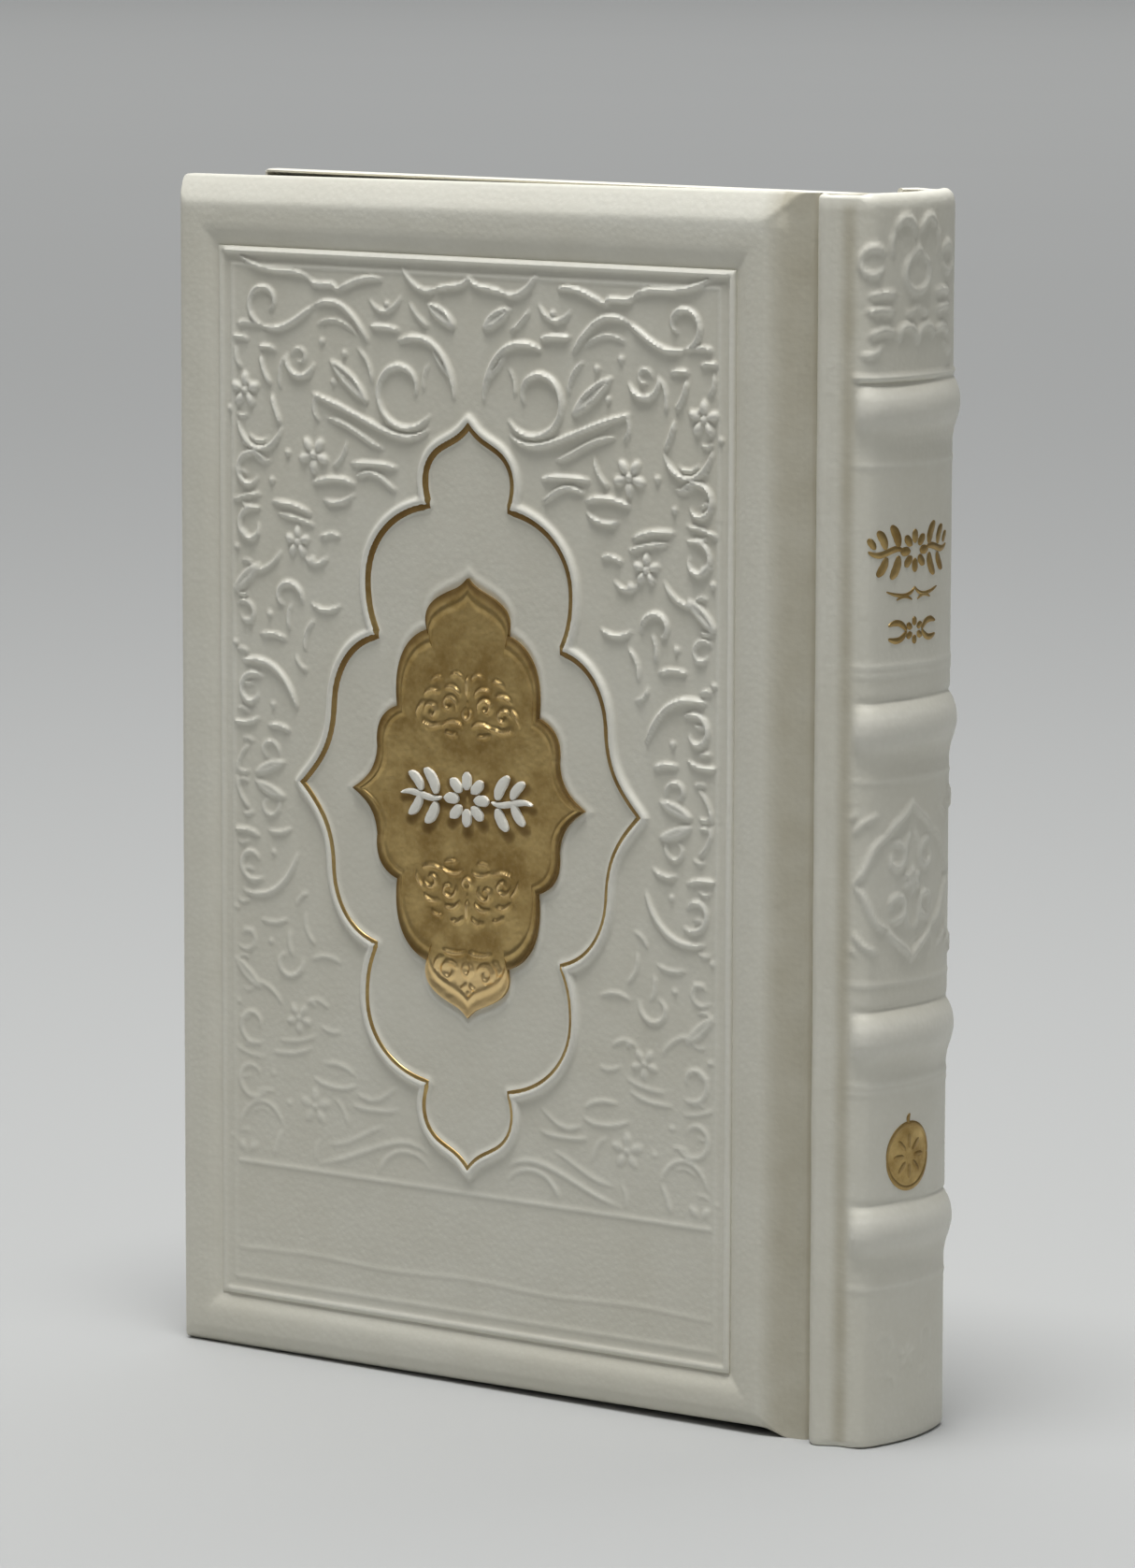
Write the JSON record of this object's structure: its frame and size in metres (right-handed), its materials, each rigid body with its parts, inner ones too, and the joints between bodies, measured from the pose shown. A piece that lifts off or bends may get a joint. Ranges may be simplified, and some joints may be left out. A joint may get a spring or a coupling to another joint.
{
  "type": "prayer book",
  "caption": "Padded leather-bound prayer book with a rounded spine, raised bands, a gilt oval cartouche, hinged covers and free endleaves.",
  "frame": {"origin": "centre of the footprint, on the surface that the book stands on", "axes": "+X from the fore edge to the spine, +Y from the front cover to the back cover, +Z from tail to head"},
  "size_m": [0.1252, 0.025, 0.175],
  "materials": {
    "white_leather": "satin, blind embossed",
    "gold_foil": "satin hot-stamped foil",
    "foam_padding": "soft foam sheet",
    "cover_board": "grey binder's board",
    "page_paper": "uncoated thin paper",
    "endpaper": "smooth uncoated endpaper",
    "binding_cloth": "open cotton weave",
    "headband_thread": "wound silk thread"
  },
  "bodies": {
    "book_block": {"section_01": "page_paper", "section_02": "page_paper", "section_03": "page_paper", "section_04": "page_paper", "section_05": "page_paper", "section_06": "page_paper", "section_07": "page_paper", "section_08": "page_paper", "section_09": "page_paper", "section_10": "page_paper", "section_11": "page_paper", "section_12": "page_paper", "section_13": "page_paper", "section_14": "page_paper", "sewing_tape_1": "binding_cloth", "sewing_tape_2": "binding_cloth", "sewing_tape_3": "binding_cloth", "spine_mull": "binding_cloth", "spine_lining": "page_paper", "headband": "headband_thread", "tailband": "headband_thread", "spine_stiffener": "cover_board", "raised_band_1": "cover_board", "raised_band_2": "cover_board", "raised_band_3": "cover_board", "raised_band_4": "cover_board", "spine_leather": "white_leather", "spine_upper_foil_ornament": "gold_foil", "spine_foil_flourish": "gold_foil", "spine_small_foil_ornament": "gold_foil", "spine_foil_seal": "gold_foil", "front_joint_leather": "white_leather", "back_joint_leather": "white_leather"},
    "front_cover": {"front_leather": "white_leather", "front_pad": "foam_padding", "front_board": "cover_board", "front_pastedown": "endpaper", "cartouche_foil_line": "gold_foil", "medallion_foil": "gold_foil", "medallion_rosette": "gold_foil"},
    "back_cover": {"back_leather": "white_leather", "back_pad": "foam_padding", "back_board": "cover_board", "back_pastedown": "endpaper"},
    "front_flyleaf": {"front_flyleaf": "endpaper"},
    "front_inner_leaf": {"front_inner_leaf": "endpaper"},
    "back_flyleaf": {"back_flyleaf": "endpaper"},
    "back_inner_leaf": {"back_inner_leaf": "endpaper"}
  },
  "joints": [
    {"name": "front_cover_hinge", "type": "hinge", "parent": "book_block", "child": "front_cover", "pos_m": [0.04725, -0.0126, 0.0875], "axis": [0, 0, 1], "range_deg": [0, 170]},
    {"name": "back_cover_hinge", "type": "hinge", "parent": "book_block", "child": "back_cover", "pos_m": [0.04725, 0.0126, 0.0875], "axis": [0, 0, -1], "range_deg": [0, 170]},
    {"name": "front_flyleaf_fold", "type": "hinge", "parent": "book_block", "child": "front_flyleaf", "pos_m": [0.04725, -0.0126, 0.0875], "axis": [0, 0, 1], "range_deg": [0, 128]},
    {"name": "front_inner_leaf_fold", "type": "hinge", "parent": "book_block", "child": "front_inner_leaf", "pos_m": [0.04725, -0.0126, 0.0875], "axis": [0, 0, 1], "range_deg": [0, 86]},
    {"name": "back_flyleaf_fold", "type": "hinge", "parent": "book_block", "child": "back_flyleaf", "pos_m": [0.04725, 0.0126, 0.0875], "axis": [0, 0, -1], "range_deg": [0, 128]},
    {"name": "back_inner_leaf_fold", "type": "hinge", "parent": "book_block", "child": "back_inner_leaf", "pos_m": [0.04725, 0.0126, 0.0875], "axis": [0, 0, -1], "range_deg": [0, 86]}
  ],
  "couplings": [
    {"joint": "front_flyleaf_fold", "follows": "front_cover_hinge", "ratio": 0.75},
    {"joint": "front_inner_leaf_fold", "follows": "front_cover_hinge", "ratio": 0.5},
    {"joint": "back_flyleaf_fold", "follows": "back_cover_hinge", "ratio": 0.75},
    {"joint": "back_inner_leaf_fold", "follows": "back_cover_hinge", "ratio": 0.5}
  ]
}
